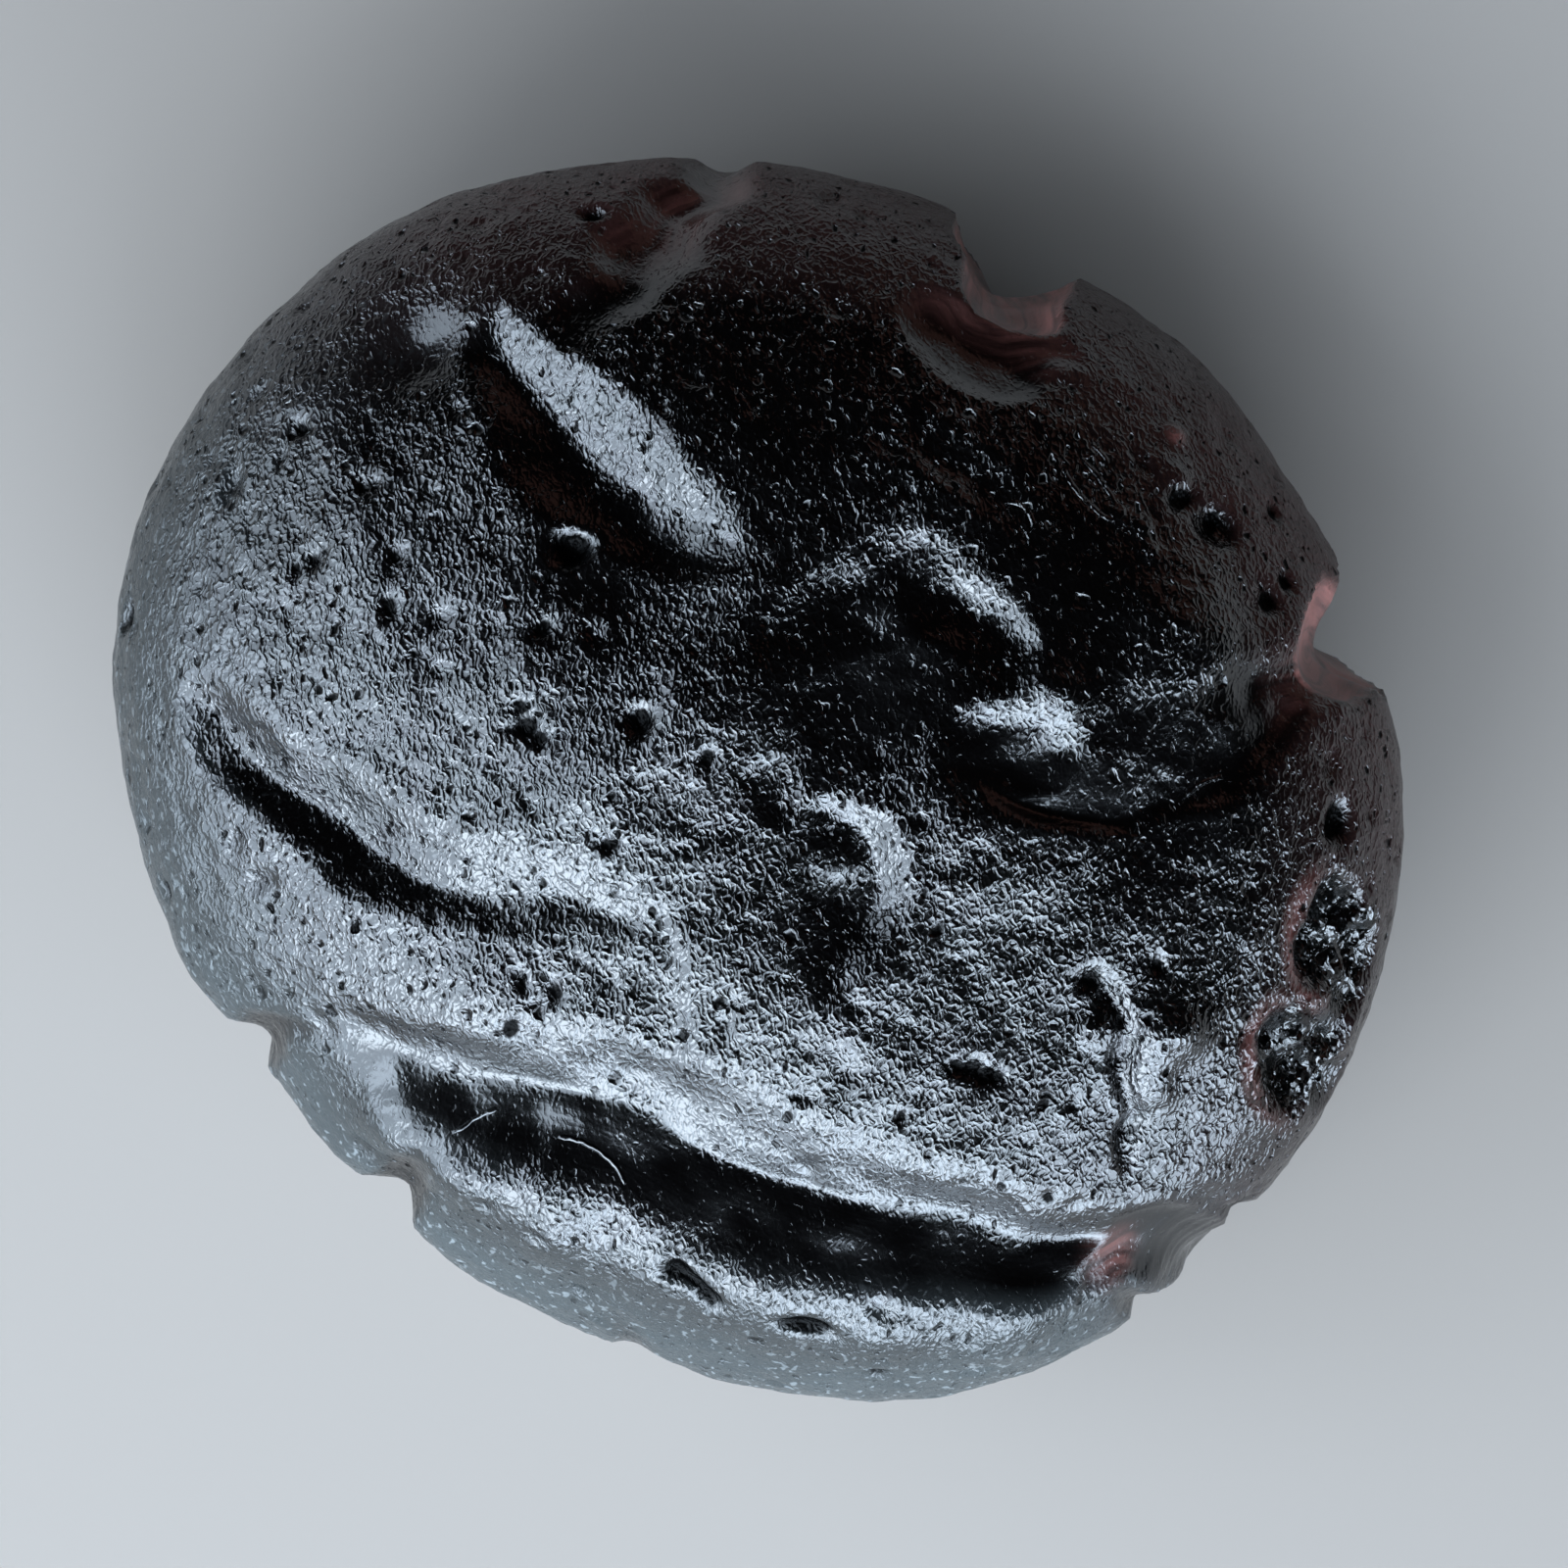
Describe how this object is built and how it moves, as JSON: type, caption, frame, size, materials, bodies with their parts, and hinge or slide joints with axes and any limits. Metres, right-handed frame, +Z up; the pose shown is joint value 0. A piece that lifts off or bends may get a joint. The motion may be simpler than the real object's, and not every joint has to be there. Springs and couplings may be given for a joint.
{
  "type": "tektite",
  "caption": "Tektite: a thick domed disc of black natural glass with U-shaped corrosion grooves, pits and notches round its rim.",
  "frame": {"origin": "on the surface that the stone rests on, under the middle of its plan", "axes": "+Z up out of the domed, grooved face; +X along the stone's longest width, towards the notch in its rim between the horn and the broken pits"},
  "size_m": [0.0478, 0.0462, 0.0219],
  "materials": {
    "black_glass": "gloss, etched all over with fine pits"
  },
  "bodies": {
    "root": {"tektite": "black_glass"}
  },
  "joints": []
}
